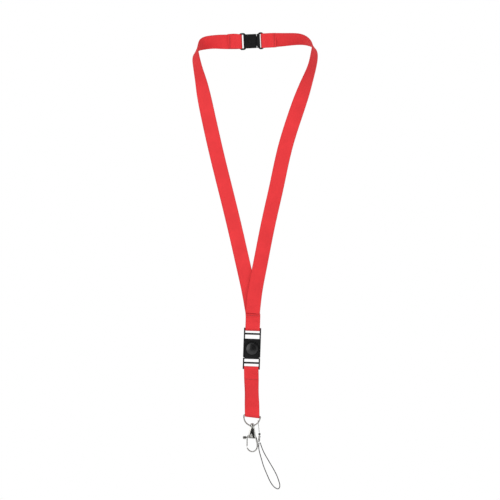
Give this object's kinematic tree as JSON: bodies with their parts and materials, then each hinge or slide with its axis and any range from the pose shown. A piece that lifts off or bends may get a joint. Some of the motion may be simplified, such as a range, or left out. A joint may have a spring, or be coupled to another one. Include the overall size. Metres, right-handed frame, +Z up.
{
  "type": "neck lanyard",
  "caption": "Neck lanyard: ribbon loop with a breakaway buckle at the nape, push-button detachable pendant, D-ring with a swivel trigger hook and a phone-cord loop.",
  "frame": {"origin": "middle of the nape band, at the centre of the breakaway buckle, where the neck holds the lanyard", "axes": "+Z up with the lanyard hanging, the wearer's front towards -Y, +X to the wearer's left"},
  "size_m": [0.126, 0.0701, 0.4571],
  "materials": {
    "red_ribbon": "woven polyester, satin",
    "red_thread": "polyester sewing thread",
    "black_plastic": "moulded, fine satin texture",
    "chrome": "polished plating",
    "spring_steel": "plain",
    "cord_black": "thin braided cord"
  },
  "bodies": {
    "left_half": {"neck_strap_left": "red_ribbon", "yoke_stitching": "red_thread", "safety_socket": "black_plastic", "tab_stitching_left": "red_thread"},
    "right_half": {"safety_plug": "black_plastic", "neck_strap_right": "red_ribbon", "tab_stitching_right": "red_thread"},
    "buckle_upper": {"buckle_socket": "black_plastic"},
    "buckle_lower": {"buckle_plug": "black_plastic"},
    "button": {"release_button": "black_plastic", "button_tongue": "black_plastic"},
    "pendant": {"pendant_strap": "red_ribbon", "pendant_stitching": "red_thread"},
    "ring": {"d_ring": "chrome"},
    "hook": {"hook_body": "chrome", "gate_pin": "spring_steel", "gate_spring": "spring_steel"},
    "gate": {"gate_lever": "chrome"},
    "phone_loop": {"phone_link": "chrome", "phone_bead": "black_plastic", "phone_crimp": "chrome", "phone_cord": "cord_black"}
  },
  "joints": [
    {"name": "safety_release", "type": "slide", "parent": "left_half", "child": "right_half", "axis": [0.999, 0, 0.0436], "range_m": [0, 0.012]},
    {"name": "buckle_swing", "type": "hinge", "parent": "left_half", "child": "buckle_upper", "pos_m": [0.0006, -0.052, -0.288], "axis": [0.9994, 0, -0.0349], "range_deg": [-40, 40]},
    {"name": "buckle_release", "type": "slide", "parent": "buckle_upper", "child": "buckle_lower", "axis": [-0.0349, 0, -0.9994], "range_m": [0, 0.02]},
    {"name": "button_press", "type": "slide", "parent": "buckle_lower", "child": "button", "axis": [0, 1, 0], "range_m": [0, 0.0013], "stiffness_N_per_m": 400, "springref_m": -0.001},
    {"name": "pendant_swing", "type": "hinge", "parent": "buckle_lower", "child": "pendant", "pos_m": [-0.00078, -0.052, -0.32748], "axis": [0.9994, 0, -0.0349], "range_deg": [-40, 40]},
    {"name": "ring_swing", "type": "hinge", "parent": "pendant", "child": "ring", "pos_m": [0.0002, -0.052, -0.3748], "axis": [0.9925, 0, -0.1219], "range_deg": [-70, 70]},
    {"name": "hook_swivel", "type": "hinge", "parent": "ring", "child": "hook", "pos_m": [0.0002, -0.052, -0.3848], "axis": [0, 0, 1], "range_deg": [-120, 120]},
    {"name": "gate_open", "type": "hinge", "parent": "hook", "child": "gate", "pos_m": [-0.0019, -0.052, -0.3937], "axis": [0, -1, 0], "range_deg": [0, 28], "stiffness_Nm_per_rad": 0.003, "springref_deg": -22.92},
    {"name": "phone_swing", "type": "hinge", "parent": "ring", "child": "phone_loop", "pos_m": [0.00622, -0.052, -0.38153], "axis": [-1, 0, 0], "range_deg": [0, 60]}
  ]
}
